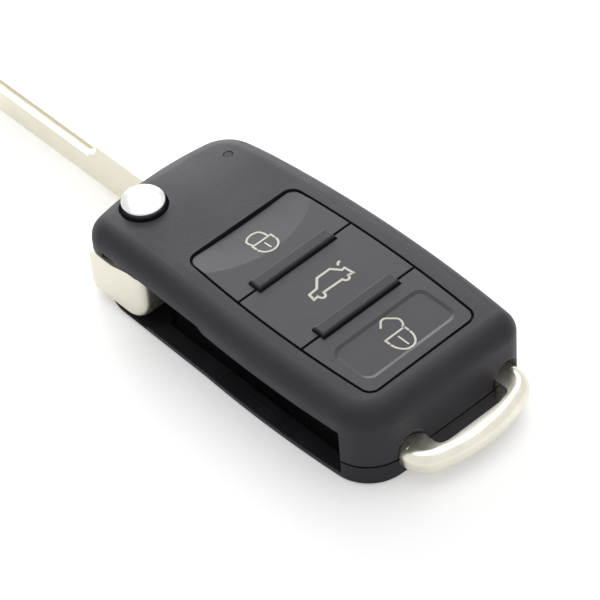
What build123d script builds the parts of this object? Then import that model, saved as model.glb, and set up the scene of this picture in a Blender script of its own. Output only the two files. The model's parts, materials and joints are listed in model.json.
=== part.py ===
from build123d import *

import os
from math import sqrt

# Flip key remote: a two-part case with three buttons, a key blade that swings out of a side slot
# on a sprung metal hub, and a key-ring loop. Millimetres. The case rests on Z = 0, the origin lies
# under the middle of the button field, +X points at the key-ring loop, -Y at the blade slot.

os.makedirs("parts", exist_ok=True)

# Case
case_height = 16.5
case_half_width = 18.9
case_barrel_radius = 255.0
case_head_x = -44.4
head_end_bow = 2.3
case_tail_x = 27.4
tail_end_bow = 0.3
tail_lean = 0.5
head_side_inset = 0.6
head_side_end_x = -12.0
tail_back_radius = 4.0
tail_front_radius = 7.8
head_back_radius = 7.5
head_front_radius = 4.8
cover_front_radius = 11.0
parting_z = 4.5
shoulder_radius = 3.8
crown_radius = 26.0
head_fall_start_x = -30.0
head_fall_radius = 98.5
head_fall_turn = 12.0
floor_thickness = 1.2
head_floor_thickness = 0.8
bottom_edge_radius = 0.6
wall = 1.5
top_wall = 1.2
end_block = 5.1
joint_line = 0.12
groove_depth = 0.4
groove_height = 0.3
frame_gap = 0.05
frame_clearance = 0.1

# Button field
field_half_length = 22.08
field_margin = 5.9
field_barrel_radius = 247.0
field_corner_radius = 2.1
button_gap = 0.5
lock_split_x = -8.4
unlock_split_x = 6.8
button_flange = 0.7
button_flange_height = 0.8
button_travel = 0.4
button_ledge_clearance = 0.1
flange_room = 0.3
ridge_width = 2.6
ridge_half_length = 8.6
ridge_rise = 0.7
ridge_far_gap = 0.15
ridge_near_gap = 0.4
ridge_end_gap = 0.2
ridge_edge_radius = 0.45
lock_ridge_x = -9.0
unlock_ridge_x = 6.3
crossbar_height = 1.2
crossbar_clearance = 0.2
crossbar_foot = 1.0
crossbar_foot_gap = 0.2
crossbar_foot_root = 0.5
lock_scoop_x = -33.0
lock_scoop_radius = 19.7
lock_scoop_depth = 0.9
dish_x = 15.2
dish_length = 9.2
dish_width = 20.6
dish_depth = 0.2
dish_corner_radius = 2.0
dish_taper = 73.0

# Pivot of hub and blade
pivot_x = -37.4
pivot_inset = 10.6
dome_diameter = 7.7
dome_rise = 2.3
dome_skirt_rise = 1.15
dome_edge_radius = 0.4
dome_hole_diameter = 8.8
release_travel = 2.0
release_flange_diameter = 9.4
release_flange_height = 2.2
release_stem_diameter = 4.0
release_stem_gap = 0.2
release_lug_width = 1.8
release_lug_reach = 0.6
hub_bore_diameter = 9.6
hub_boss_diameter = 11.8
hub_boss_rise = 0.8
hub_corner = 10.5
hub_left = 6.9
hub_blade_side = 10.45
hub_corner_radius = 5.0
hub_heel_radius = 5.0
hub_edge_radius = 1.8
hub_draft = 1.2
hub_bore_floor = 1.0
hub_overlap = 2.0
hub_pad_wall = 1.2
hub_floor_clearance = 0.2
hub_roof_clearance = 0.1
swing_clearance = 0.3
running_clearance = 0.08
post_diameter = 6.0
post_height = 1.4
recess_clearance = 0.1
washer_diameter = 12.0
washer_thickness = 0.15
spring_wire = 0.8
spring_turns = 4
spring_clearance = 0.35

# Blade and its slot
blade_thickness = 2.8
closed_blade_inset = 2.0
blade_bottom_z = 1.5
blade_root_height = 9.3
blade_shank_height = 6.1
blade_shoulder_x = -60.0
blade_shoulder_radius = 2.6
blade_corner_radius = 0.8
blade_tip_x = -94.5
blade_tip_bevel = 2.0
rebate_depth = 1.7
rebate_height = 0.8
root_inset = 1.8
tang_thickness = 1.8
tang_height = 6.0
tang_bottom_z = 3.2
tang_end_x = -33.2
tang_clearance = 0.03
tang_lap = 0.5
pin_diameter = 1.6
pin_x = -38.6
pin_lead = 1.3
pin_overhang = 1.2
pin_slit = 0.3
slot_depth = 3.7
slot_wall_thickness = 1.2
slot_end_x = 20.5
slot_roof_z = 11.2
head_roof_z = 12.1
lip_z = 11.0
lip_end_x = -34.9
lip_rise_x = -30.7
lip_end_y = -13.0
lip_reach = 9.2
roof_step_x = -12.8
roof_step_run = 1.3
cover_seam_x = -9.0
slot_rim_width = 0.45
slot_rim_height = 0.2
slot_rib_count = 3
slot_rib_x = 1.0
slot_rib_inset = 0.6
slot_rib_length = 9.0
slot_rib_width = 0.35
slot_rib_pitch = 1.1
slot_rib_height = 0.25

# Key-ring loop
loop_y = 2.3
loop_outer_x = 34.6
loop_outer_bow = 28.6
loop_side_inset = 5.4
loop_leg_width = 5.4
loop_outer_corner = 5.0
loop_inner_x = 31.9
loop_inner_bow = 28.0
loop_inner_corner = 1.3
loop_bottom_z = 1.8
loop_top_z = 6.5
loop_top_radius = 2.1
loop_bottom_radius = 2.0
leg_clearance = 0.1
leg_outer_relief = 1.1
leg_end_gap = 0.1
leg_shank_lap = 0.2
leg_hook_gap = 0.1
leg_hook_length = 1.8
leg_hook_reach = 0.9
scoop_radius = 3.8
scoop_depth = 1.6
scoop_z = 5.6
scoop_rim_radius = 0.5

# Electronics
bay_head_x = -21.4
board_thickness = 1.0
board_clearance = 0.3
plate_thickness = 1.0
tongue_inset = 8.0
tongue_width = 4.4
tongue_end_x = -38.4
tongue_lap = 2.0
tongue_end_room = 0.6
tongue_side_room = 0.4
tongue_head_room = 1.3
switch_size = 4.5
switch_corner_radius = 0.4
switch_height = 1.4
switch_plunger_diameter = 2.2
switch_plunger_height = 0.2
switch_mat_gap = 0.25
mat_thickness = 0.7
mat_inset = 1.0
mat_pad_length = 8.0
mat_pad_width = 13.0
mat_pad_corner_radius = 1.5
mat_gap = 0.15
mat_button_gap = 0.5
battery_diameter = 20.0
battery_height = 3.2
battery_x = 7.4
battery_y = 1.5
contact_room = 1.5
battery_clearance = 0.25
battery_ring_wall = 1.1
battery_seat_inset = 1.5
battery_seat_width = 1.2
battery_edge_radius = 0.4
battery_cap_diameter = 17.6
battery_cap_height = 0.3
contact_thickness = 0.25
contact_width = 4.0
contact_gap = 0.02
contact_lift = 0.2
contact_slot_room = 0.4
contact_slot_length = 2.6
leaf_far = 7.0
leaf_bend = 3.0
leaf_rise = 1.0
chip_size = (5.0, 4.4, 0.9)
chip_x = 6.3
chip_inset = 11.4
chip_lift = 0.1
chip_chamfer = 0.15
chip_leg_size = (0.4, 1.0, 0.35)
chip_leg_count = 4
chip_leg_pitch = 1.0
chip_leg_reach = 0.6
crystal_size = (3.2, 2.5, 0.7)
crystal_position = (6.3, -7.0)
crystal_corner_radius = 0.5
coil_size = (9.0, 3.4, 2.2)
winding_thickness = 0.4
winding_corner_radius = 0.6
window_x = -12.5
window_length = 13.0
window_width = 19.0
window_corner_radius = 1.5
lens_x = -36.3
lens_tongue_shift = 0.8
lens_diameter = 1.7
lens_clearance = 0.03
lens_sink = 0.1
lens_edge_radius = 0.15
led_size = (2.0, 1.25, 0.8)
led_corner_radius = 0.2
transponder_size = (12.0, 5.6, 3.0)
transponder_chamfer = 0.8
transponder_x = -30.5
transponder_inset = 7.3
fence_wall = 1.0
fence_clearance = 0.05
fence_drop = 0.4
screw_head_end = (-17.6, 4.1)
screw_tail_end = (20.5, 2.3)
screw_head_diameter = 3.4
screw_head_height = 1.0
screw_shank_diameter = 1.8
screw_length = 3.4
screw_slot_length = 2.2
screw_slot_width = 0.45
screw_slot_depth = 0.5
screw_tip_room = 0.2
screw_boss_diameter = 4.2
screw_boss_gap = 0.2
screw_rib_width = 1.2
screw_rib_length = 3.0
screw_clearance = 0.03

# How far cutting shapes run past the faces they cut, and how near an edge or face is to be picked
overcut = 1.0
pick_distance = 0.1
pick_tilt = 0.01

# Places worked out from the sizes above
head_side_y = head_side_inset - case_half_width
field_half_width = case_half_width - field_margin
crown_start_y = field_half_width
pivot_y = pivot_inset - case_half_width
blade_y = 2 * pivot_y + case_half_width - closed_blade_inset
slot_wall_y = slot_depth - case_half_width
slot_face_y = slot_wall_y + slot_wall_thickness
bay_tail_x = case_tail_x - end_block
hub_bottom_z = head_floor_thickness + hub_floor_clearance
hub_top_z = head_roof_z - hub_roof_clearance
swing_radius = sqrt(2) * (hub_corner - hub_edge_radius) + hub_edge_radius + swing_clearance
boss_top_z = hub_top_z + hub_boss_rise
boss_roof_z = boss_top_z + 2 * hub_roof_clearance
post_top_z = head_floor_thickness + post_height
bore_floor_z = post_top_z + recess_clearance + hub_bore_floor
ledge_z = case_height - top_wall
button_bottom_z = ledge_z - button_ledge_clearance - button_flange_height
crossbar_top_z = button_bottom_z - button_travel - crossbar_clearance
mat_top_z = crossbar_top_z - crossbar_height - mat_gap
board_top_z = mat_top_z - mat_thickness - switch_mat_gap - switch_plunger_height - switch_height
board_z = board_top_z - board_thickness
shelf_z = board_z - plate_thickness
battery_bottom_z = shelf_z - contact_room - battery_height
tongue_y = case_half_width - tongue_inset
lens_y = tongue_y - lens_tongue_shift
transponder_y = case_half_width - transponder_inset
chip_position = (chip_x, case_half_width - chip_inset)
screw_positions = ((screw_head_end[0], case_half_width - screw_head_end[1]), screw_tail_end)
release_bottom_z = boss_top_z - release_flange_height
blade_face_y = blade_y - blade_thickness / 2
loop_half_width = case_half_width - loop_side_inset
loop_inner_half_width = loop_half_width - loop_leg_width
shank_width = loop_leg_width - 2 * leg_outer_relief
scoop_x = case_tail_x + scoop_radius - scoop_depth
leg_end_x = case_tail_x - scoop_depth
hook_high_x = bay_tail_x - leg_hook_gap
hook_low_x = hook_high_x - leg_hook_length
screw_boss_height = mat_top_z - mat_thickness - board_z - screw_boss_gap
lock_x = (lock_ridge_x - ridge_width / 2 - field_half_length) / 2
trunk_x = (lock_ridge_x + unlock_ridge_x) / 2
unlock_x = (unlock_ridge_x + ridge_width / 2 + field_half_length) / 2
pivot = (pivot_x, pivot_y)
on_floor = (Align.CENTER, Align.CENTER, Align.MIN)
far = 2 * case_half_width
reach = 100.0


def half_width(x, inset=0.0):
    """Half the case's width at x, on its barrel-shaped side, drawn in by inset."""
    return case_half_width - case_barrel_radius + sqrt((case_barrel_radius - inset) ** 2 - x**2)


def case_plan(inset=0.0, front_radius=head_front_radius):
    """Plan of the closed case, drawn in all round by inset."""
    tail_x = case_tail_x - tail_end_bow - inset
    tail_back = (tail_x + tail_lean, half_width(tail_x + tail_lean, inset))
    tail_front = (tail_x - tail_lean, -half_width(tail_x - tail_lean, inset))
    head_x = case_head_x + head_end_bow + inset
    back_corner = (head_x, half_width(head_x, inset))
    front_corner = (head_x, head_side_y + inset)
    side_end = (head_side_end_x, -half_width(head_side_end_x, inset))
    with BuildSketch(mode=Mode.PRIVATE) as plan:
        with BuildLine():
            ThreePointArc(back_corner, (0, case_half_width - inset), tail_back)
            ThreePointArc(tail_back, (case_tail_x - inset, 0), tail_front)
            ThreePointArc(tail_front, (0, inset - case_half_width), side_end)
            Line(side_end, front_corner)
            ThreePointArc(front_corner, (case_head_x + inset, 0), back_corner)
        make_face()
        fillet(plan.vertices().sort_by_distance(tail_back)[0], tail_back_radius - inset)
        fillet(plan.vertices().sort_by_distance(tail_front)[0], tail_front_radius - inset)
        fillet(plan.vertices().sort_by_distance(back_corner)[0], head_back_radius - inset)
        fillet(plan.vertices().sort_by_distance(front_corner)[0], front_radius - inset)
    return plan.sketch


def field_plan(grow=0.0):
    """Plan of the whole button field, grown all round."""
    end_y = field_half_width - field_barrel_radius + sqrt(field_barrel_radius**2 - field_half_length**2)
    with BuildSketch(mode=Mode.PRIVATE) as plan:
        with BuildLine():
            ThreePointArc((-field_half_length, end_y), (0, field_half_width), (field_half_length, end_y))
            Line((field_half_length, end_y), (field_half_length, -end_y))
            ThreePointArc((field_half_length, -end_y), (0, -field_half_width), (-field_half_length, -end_y))
            Line((-field_half_length, -end_y), (-field_half_length, end_y))
        make_face()
        fillet(plan.vertices(), field_corner_radius)
        offset(amount=grow)
    return plan.sketch


def loop_plan():
    """Plan of the key-ring loop: a bowed bar that turns into two legs."""
    outer_x = loop_outer_x - loop_outer_bow + sqrt(loop_outer_bow**2 - loop_half_width**2)
    inner_x = loop_inner_x - loop_inner_bow + sqrt(loop_inner_bow**2 - loop_inner_half_width**2)
    high_y, low_y = loop_y + loop_half_width, loop_y - loop_half_width
    inner_high_y, inner_low_y = loop_y + loop_inner_half_width, loop_y - loop_inner_half_width
    with BuildSketch(mode=Mode.PRIVATE) as plan:
        with BuildLine():
            ThreePointArc((outer_x, low_y), (loop_outer_x, loop_y), (outer_x, high_y))
            Polyline((outer_x, high_y), (leg_end_x, high_y), (leg_end_x, low_y), (outer_x, low_y))
        make_face()
        fillet(plan.vertices().sort_by(Axis.X)[-2:], loop_outer_corner)
        with BuildSketch(mode=Mode.PRIVATE) as opening:
            with BuildLine():
                ThreePointArc((inner_x, inner_low_y), (loop_inner_x, loop_y), (inner_x, inner_high_y))
                Polyline((inner_x, inner_high_y), (leg_end_x - overcut, inner_high_y),
                         (leg_end_x - overcut, inner_low_y), (inner_x, inner_low_y))
            make_face()
            fillet(opening.vertices().sort_by(Axis.X)[-2:], loop_inner_corner)
        add(opening.sketch, mode=Mode.SUBTRACT)
    return plan.sketch


def hub_front_plan():
    """Plan of the hub's front half about its pivot: square towards the case's corner."""
    with BuildSketch(mode=Mode.PRIVATE) as plan:
        with BuildLine():
            Polyline((-hub_left, hub_overlap), (-hub_left, -hub_corner), (hub_corner, -hub_corner),
                     (hub_corner, hub_overlap), close=True)
        make_face()
        fillet(plan.vertices().sort_by_distance((-hub_left, -hub_corner))[0], hub_corner_radius)
    return plan.sketch


def hub_back_plan():
    """Plan of the hub's back half about its pivot: round, with a pad that holds the blade's tang."""
    pad_x = tang_end_x - pivot_x + hub_pad_wall
    round_y = sqrt(hub_corner**2 - pad_x**2)
    diagonal = hub_corner / sqrt(2)
    with BuildSketch(mode=Mode.PRIVATE) as plan:
        with BuildLine():
            Polyline((pad_x, round_y), (pad_x, hub_blade_side), (-hub_left, hub_blade_side),
                     (-hub_left, -hub_overlap), (hub_corner, -hub_overlap), (hub_corner, 0))
            ThreePointArc((hub_corner, 0), (diagonal, diagonal), (pad_x, round_y))
        make_face()
    return plan.sketch


def block(low_x, high_x, low_y, high_y, low_z, high_z):
    """A square block between two corners, for cutting or keeping a region."""
    centre = ((low_x + high_x) / 2, (low_y + high_y) / 2, (low_z + high_z) / 2)
    return Pos(*centre) * Box(high_x - low_x, high_y - low_y, high_z - low_z, mode=Mode.PRIVATE)


def crown_z(y):
    """Height of the crowned top beyond the flat strip, at y."""
    return case_height - crown_radius + sqrt(crown_radius**2 - (abs(y) - crown_start_y) ** 2)


def leg_y(side):
    """Middle of the key-ring loop's leg on one side, +1 or -1."""
    return loop_y + side * (loop_half_width + loop_inner_half_width) / 2


def head_fall(x):
    """How far the top has fallen at x on its way to the head end."""
    return head_fall_radius - sqrt(head_fall_radius**2 - min(0.0, x - head_fall_start_x) ** 2)


def lip_profile(drop):
    """Side view of the lip over the hub's corner: low at the corner, then rising to the roof."""
    with BuildSketch(Plane.XZ, mode=Mode.PRIVATE) as profile:
        with BuildLine():
            Polyline((-reach, lip_z - drop), (lip_end_x, lip_z - drop), (lip_rise_x, head_roof_z - drop),
                     (lip_rise_x, head_roof_z + overcut), (-reach, head_roof_z + overcut), close=True)
        make_face()
    return profile.sketch


def leg_seat(side, low_z, high_z):
    """Seat in a shell for one leg of the key-ring loop, between two heights."""
    half_seat = shank_width / 2 + leg_clearance
    return block(bay_tail_x - overcut, case_tail_x + 2 * overcut, leg_y(side) - half_seat,
                 leg_y(side) + half_seat, low_z, high_z)


def outer_walls(loop):
    """Upright faces of the key-ring loop that look away from the case's tail."""
    return loop.faces().filter_by(
        lambda face: abs(face.normal_at().Z) < pick_tilt
        and (face.center() - Vector(case_tail_x, loop_y, face.center().Z)).dot(face.normal_at()) > 0
        and face.normal_at().X > -0.5)


# Crowned top: flat over the button field, falling gently to both long sides and to the head
with BuildPart() as crown:
    with BuildSketch(Plane.YZ.offset(head_fall_start_x)) as cross_section:
        with BuildLine():
            edge_y = case_half_width + overcut
            middle_y = (crown_start_y + edge_y) / 2
            Line((-crown_start_y, case_height), (crown_start_y, case_height))
            ThreePointArc((crown_start_y, case_height), (middle_y, crown_z(middle_y)),
                          (edge_y, crown_z(edge_y)))
            Polyline((edge_y, crown_z(edge_y)), (edge_y, -overcut), (-edge_y, -overcut),
                     (-edge_y, crown_z(edge_y)))
            ThreePointArc((-edge_y, crown_z(edge_y)), (-middle_y, crown_z(middle_y)),
                          (-crown_start_y, case_height))
        make_face()
    extrude(amount=case_tail_x - head_fall_start_x + overcut)
    fall_axis = Axis((head_fall_start_x, 0, case_height - head_fall_radius), (0, -1, 0))
    revolve(cross_section.sketch, axis=fall_axis, revolution_arc=head_fall_turn)

# Room for the hub to swing, under a lip that hangs lower over the case's corner
with BuildPart() as swing_room:
    with Locations((pivot_x, pivot_y, parting_z - overcut)):
        Cylinder(swing_radius, head_roof_z - parting_z + overcut, align=on_floor)
    with BuildSketch(Plane.XZ.offset(-lip_end_y)):
        add(lip_profile(0.0))
    extrude(amount=far, mode=Mode.SUBTRACT)
    with Locations((pivot_x, pivot_y, parting_z - overcut)):
        Cylinder(lip_reach, head_roof_z - parting_z + overcut, align=on_floor)

# Room inside the upper shell: the board's bay, and a wider one above it for the buttons' flanges
with BuildPart() as bay:
    with BuildSketch(Plane.XY.offset(parting_z)):
        add(case_plan(wall))
        with Locations((bay_head_x, slot_face_y)):
            Rectangle(bay_tail_x - bay_head_x, far, align=(Align.MIN, Align.MIN), mode=Mode.INTERSECT)
    extrude(amount=mat_top_z - parting_z)
    with BuildSketch(Plane.XY.offset(mat_top_z)):
        add(case_plan(shoulder_radius))
        with Locations((0, slot_face_y)):
            Rectangle(2 * (field_half_length + button_flange + flange_room), far,
                      align=(Align.CENTER, Align.MIN), mode=Mode.INTERSECT)
    extrude(amount=ledge_z - mat_top_z)

# Upper shell: moulded top half, with the button window, the slot's roof and the pivot hole
with BuildPart() as upper_shell:
    with BuildSketch(Plane.XY.offset(parting_z)):
        add(case_plan())
    extrude(amount=case_height - parting_z)
    add(crown.part, mode=Mode.INTERSECT)
    sides = upper_shell.faces().filter_by(lambda face: abs(face.normal_at().Z) < pick_tilt)
    shoulders = sides.edges().filter_by(lambda edge: edge.center().Z > case_height - shoulder_radius)
    fillet(shoulders, shoulder_radius)
    add(bay.part, mode=Mode.SUBTRACT)
    # Blade slot, its roof a step higher over the head
    add(block(pivot_x, slot_end_x, -far, slot_face_y, parting_z - overcut, slot_roof_z), mode=Mode.SUBTRACT)
    with BuildSketch(Plane.XZ.offset(-slot_face_y)):
        with BuildLine():
            Polyline((pivot_x, slot_roof_z - overcut), (pivot_x, head_roof_z), (roof_step_x, head_roof_z),
                     (roof_step_x + roof_step_run, slot_roof_z),
                     (roof_step_x + roof_step_run, slot_roof_z - overcut), close=True)
        make_face()
    extrude(amount=far, mode=Mode.SUBTRACT)
    # The hub's room, with its bearing collar and the release button's hole
    add(swing_room.part, mode=Mode.SUBTRACT)
    with Locations((pivot_x, pivot_y, parting_z - overcut)):
        Cylinder(hub_boss_diameter / 2 + running_clearance, boss_roof_z - parting_z + overcut,
                 align=on_floor, mode=Mode.SUBTRACT)
        Cylinder(dome_hole_diameter / 2, case_height, align=on_floor, mode=Mode.SUBTRACT)
    # Room for the board's tongue and its indicator beside the hub
    add(block(tongue_end_x - tongue_end_room, bay_head_x + overcut,
              tongue_y - tongue_width / 2 - tongue_side_room, tongue_y + tongue_width / 2 + tongue_side_room,
              parting_z - overcut, board_top_z + tongue_head_room), mode=Mode.SUBTRACT)
    with Locations((lens_x, lens_y, board_top_z)):
        Cylinder(lens_diameter / 2 + lens_clearance, far, align=on_floor, mode=Mode.SUBTRACT)
    # Button window
    with BuildSketch(Plane.XY.offset(ledge_z - overcut)):
        add(field_plan(button_gap / 2))
    extrude(amount=far, mode=Mode.SUBTRACT)
    # Bars across the window, raised between the buttons
    foot_y = field_half_width + button_flange + crossbar_foot_gap + crossbar_foot / 2
    crossbar_bottom_z = crossbar_top_z - crossbar_height
    for ridge_x in (lock_ridge_x, unlock_ridge_x):
        with Locations((ridge_x, 0, crossbar_bottom_z)):
            Box(ridge_width, 2 * foot_y + crossbar_foot, crossbar_height, align=on_floor)
            Box(ridge_width, 2 * ridge_half_length, case_height + ridge_rise - crossbar_bottom_z,
                align=on_floor)
        with Locations((ridge_x, -foot_y, crossbar_bottom_z), (ridge_x, foot_y, crossbar_bottom_z)):
            Box(ridge_width, crossbar_foot, ledge_z + crossbar_foot_root - crossbar_bottom_z, align=on_floor)
    fillet(upper_shell.faces().sort_by(Axis.Z)[-2:].edges(), ridge_edge_radius)
    # Screw bosses, each with a rib to the wall
    for screw_x, screw_y in screw_positions:
        with Locations((screw_x, screw_y, board_z + frame_gap)):
            Cylinder(screw_boss_diameter / 2, screw_boss_height, align=on_floor)
    rib_x = screw_positions[0][0]
    with Locations((rib_x, half_width(rib_x) - wall / 2, board_z + frame_gap)):
        Box(screw_rib_width, screw_rib_length, screw_boss_height, align=(Align.CENTER, Align.MAX, Align.MIN))
    for screw_x, screw_y in screw_positions:
        with Locations((screw_x, screw_y, board_z)):
            Cylinder(screw_shank_diameter / 2 + screw_clearance,
                     screw_length - plate_thickness + screw_tip_room, align=on_floor, mode=Mode.SUBTRACT)
    # Seats and scoops for the key-ring loop's legs
    for side in (-1, 1):
        add(leg_seat(side, parting_z - overcut, loop_top_z + leg_clearance), mode=Mode.SUBTRACT)
        with Locations((scoop_x, leg_y(side), scoop_z)):
            Sphere(scoop_radius, mode=Mode.SUBTRACT)
    scoop_rims = upper_shell.edges().filter_by(
        lambda edge: edge.center().X > case_tail_x - 2 * scoop_rim_radius
        and parting_z + scoop_rim_radius < edge.center().Z < scoop_z + scoop_radius)
    fillet(scoop_rims, scoop_rim_radius)
upper_shell.part.label = "upper_shell"
export_step(upper_shell.part, "parts/upper_shell.step")

# Lower covers: one floor plan, cut at the seam between the head and the battery side
with BuildPart() as lower_tray:
    with BuildSketch():
        add(case_plan(front_radius=cover_front_radius))
    extrude(amount=parting_z - joint_line)
    fillet(lower_tray.faces().sort_by(Axis.Z)[0].edges(), bottom_edge_radius)
    with BuildSketch(Plane.XY.offset(parting_z - joint_line - groove_height)):
        Rectangle(2 * reach, 2 * reach)
        add(case_plan(groove_depth, front_radius=cover_front_radius), mode=Mode.SUBTRACT)
    extrude(amount=parting_z, mode=Mode.SUBTRACT)
    with BuildSketch(Plane.XY.offset(floor_thickness)):
        add(case_plan(wall))
    extrude(amount=parting_z, mode=Mode.SUBTRACT)
    with Locations((pivot_x, pivot_y, head_floor_thickness)):
        Cylinder(swing_radius, parting_z, align=on_floor, mode=Mode.SUBTRACT)
    add(block(pivot_x, slot_end_x, -far, slot_face_y, floor_thickness + slot_rim_height, case_height),
        mode=Mode.SUBTRACT)
    with BuildSketch(Plane.XY.offset(floor_thickness)):
        add(case_plan(slot_rim_width))
        with Locations((pivot_x, slot_face_y)):
            Rectangle(slot_end_x - pivot_x, far, align=(Align.MIN, Align.MAX), mode=Mode.INTERSECT)
    extrude(amount=slot_rim_height, mode=Mode.SUBTRACT)

# Head cover: floor under the hub, with the post that the hub turns on
with BuildPart() as head_cover:
    add(lower_tray.part)
    add(block(cover_seam_x - joint_line / 2, reach, -far, far, -overcut, case_height), mode=Mode.SUBTRACT)
    with Locations((pivot_x, pivot_y, head_floor_thickness)):
        Cylinder(post_diameter / 2, post_height, align=on_floor)
    # Fence that holds the transponder
    with BuildSketch(Plane.XY.offset(floor_thickness)):
        with Locations((transponder_x, transponder_y)):
            Rectangle(transponder_size[0] + 2 * fence_wall, transponder_size[1] + 2 * fence_wall)
            Rectangle(transponder_size[0] + 2 * fence_clearance, transponder_size[1] + 2 * fence_clearance,
                      mode=Mode.SUBTRACT)
    extrude(amount=transponder_size[2] - fence_drop)
head_cover.part.label = "head_cover"
export_step(head_cover.part, "parts/head_cover.step")

# Battery cover: snaps on under the board, with the ring that holds the cell up
with BuildPart() as battery_cover:
    add(lower_tray.part)
    add(block(-reach, cover_seam_x + joint_line / 2, -far, far, -overcut, case_height), mode=Mode.SUBTRACT)
    with BuildSketch(Plane.XY.offset(floor_thickness)):
        with Locations((battery_x, battery_y)):
            Circle(battery_diameter / 2 - battery_seat_inset)
            Circle(battery_diameter / 2 - battery_seat_inset - battery_seat_width, mode=Mode.SUBTRACT)
    extrude(amount=battery_bottom_z - floor_thickness)
    # Solid tail that backs the key-ring loop's legs
    with BuildSketch(Plane.XY.offset(floor_thickness)):
        add(case_plan(wall / 2))
        with Locations((bay_tail_x, 0)):
            Rectangle(far, 2 * far, align=(Align.MIN, Align.CENTER), mode=Mode.INTERSECT)
    extrude(amount=parting_z - joint_line - floor_thickness)
    for side in (-1, 1):
        add(leg_seat(side, loop_bottom_z - leg_clearance, case_height), mode=Mode.SUBTRACT)
        with Locations((scoop_x, leg_y(side), scoop_z)):
            Sphere(scoop_radius, mode=Mode.SUBTRACT)
    # Fine raised lines on the slot's floor
    for rib in range(slot_rib_count):
        rib_y = slot_wall_y - slot_rib_inset - rib * slot_rib_pitch
        with Locations((slot_rib_x, rib_y, floor_thickness)):
            Box(slot_rib_length, slot_rib_width, slot_rib_height, align=on_floor)
battery_cover.part.label = "battery_cover"
export_step(battery_cover.part, "parts/battery_cover.step")

# Inner frame: the slot's back wall, the curved wall round the hub and the board's shelf
with BuildPart() as inner_frame:
    wall_low_z = floor_thickness + frame_gap
    with BuildSketch(Plane.XY.offset(shelf_z)):
        add(case_plan(wall + board_clearance))
        with Locations((bay_head_x + board_clearance, slot_wall_y)):
            Rectangle(bay_tail_x - bay_head_x - 2 * board_clearance, far,
                      align=(Align.MIN, Align.MIN), mode=Mode.INTERSECT)
        with Locations((slot_end_x - frame_clearance, slot_face_y + frame_clearance)):
            Rectangle(end_block, end_block, align=(Align.MIN, Align.MAX), mode=Mode.SUBTRACT)
        with Locations((window_x, battery_y)):
            RectangleRounded(window_length, window_width, window_corner_radius, mode=Mode.SUBTRACT)
        with Locations(*screw_positions):
            Circle(screw_shank_diameter / 2 + screw_clearance, mode=Mode.SUBTRACT)
    extrude(amount=plate_thickness)
    with BuildSketch(Plane.XY.offset(wall_low_z)):
        with Locations((pivot_x + swing_radius, slot_wall_y)):
            Rectangle(slot_end_x - pivot_x - swing_radius - frame_clearance, slot_wall_thickness,
                      align=(Align.MIN, Align.MIN))
    extrude(amount=slot_roof_z - frame_gap - wall_low_z)
    with BuildSketch(Plane.XY.offset(wall_low_z)):
        with Locations(pivot):
            Circle(swing_radius + slot_wall_thickness)
            Circle(swing_radius + frame_clearance, mode=Mode.SUBTRACT)
        with Locations((pivot_x + swing_radius / 2, slot_wall_y)):
            Rectangle(far, swing_radius, align=(Align.MIN, Align.MIN), mode=Mode.INTERSECT)
    extrude(amount=parting_z - joint_line - wall_low_z)
    with BuildSketch(Plane.XY.offset(battery_bottom_z)):
        with Locations((battery_x, battery_y)):
            Circle(battery_diameter / 2 + battery_clearance + battery_ring_wall)
            Circle(battery_diameter / 2 + battery_clearance, mode=Mode.SUBTRACT)
    extrude(amount=shelf_z - battery_bottom_z)
    # Slots for the battery contacts
    contact_slot_width = contact_width + contact_slot_room
    with Locations((battery_x, battery_y, shelf_z - overcut)):
        Box(contact_width, contact_slot_width, plate_thickness + 2 * overcut, align=on_floor,
            mode=Mode.SUBTRACT)
    with Locations((battery_x + battery_diameter / 2 + battery_clearance, battery_y,
                    battery_bottom_z - overcut)):
        Box(contact_slot_length, contact_slot_width, board_z - battery_bottom_z + 2 * overcut,
            align=on_floor, mode=Mode.SUBTRACT)
inner_frame.part.label = "inner_frame"
export_step(inner_frame.part, "parts/inner_frame.step")

# Room that the case takes up at its tail, for cutting the loop's legs to it
with BuildPart() as tail_room:
    with BuildSketch(Plane.XY.offset(-overcut)):
        add(case_plan(-leg_end_gap))
    extrude(amount=case_height)
    for side in (-1, 1):
        with Locations((scoop_x, leg_y(side), scoop_z)):
            Sphere(scoop_radius - leg_end_gap, mode=Mode.SUBTRACT)

# Key-ring loop: one cast piece, its two hooked legs trapped between the shells
with BuildPart() as key_ring_loop:
    with BuildSketch(Plane.XY.offset(loop_bottom_z)):
        add(loop_plan())
    extrude(amount=loop_top_z - loop_bottom_z)
    fillet(outer_walls(key_ring_loop).edges().group_by(Axis.Z)[-1], loop_top_radius)
    fillet(outer_walls(key_ring_loop).edges().group_by(Axis.Z)[0], loop_bottom_radius)
    add(tail_room.part, mode=Mode.SUBTRACT)
    for side in (-1, 1):
        add(block(hook_low_x, case_tail_x + leg_shank_lap, leg_y(side) - shank_width / 2,
                  leg_y(side) + shank_width / 2, loop_bottom_z, loop_top_z))
        add(block(hook_low_x, hook_high_x, leg_y(side) - shank_width / 2 - leg_hook_reach,
                  leg_y(side) + shank_width / 2 + leg_hook_reach, loop_bottom_z, loop_top_z))
key_ring_loop.part.label = "key_ring_loop"
export_step(key_ring_loop.part, "parts/key_ring_loop.step")

# Step in the hub's top that passes under the case's lip, outside a disc round the pivot
with BuildPart() as hub_step:
    with BuildSketch(Plane.XZ.offset(-pivot_y)):
        add(lip_profile(hub_roof_clearance))
    extrude(amount=far)
    add(block(-reach, reach, pivot_y, far, lip_z - hub_roof_clearance, case_height))
    with Locations((pivot_x, pivot_y, 0)):
        Cylinder(lip_reach - swing_clearance, case_height, align=on_floor, mode=Mode.SUBTRACT)

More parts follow.
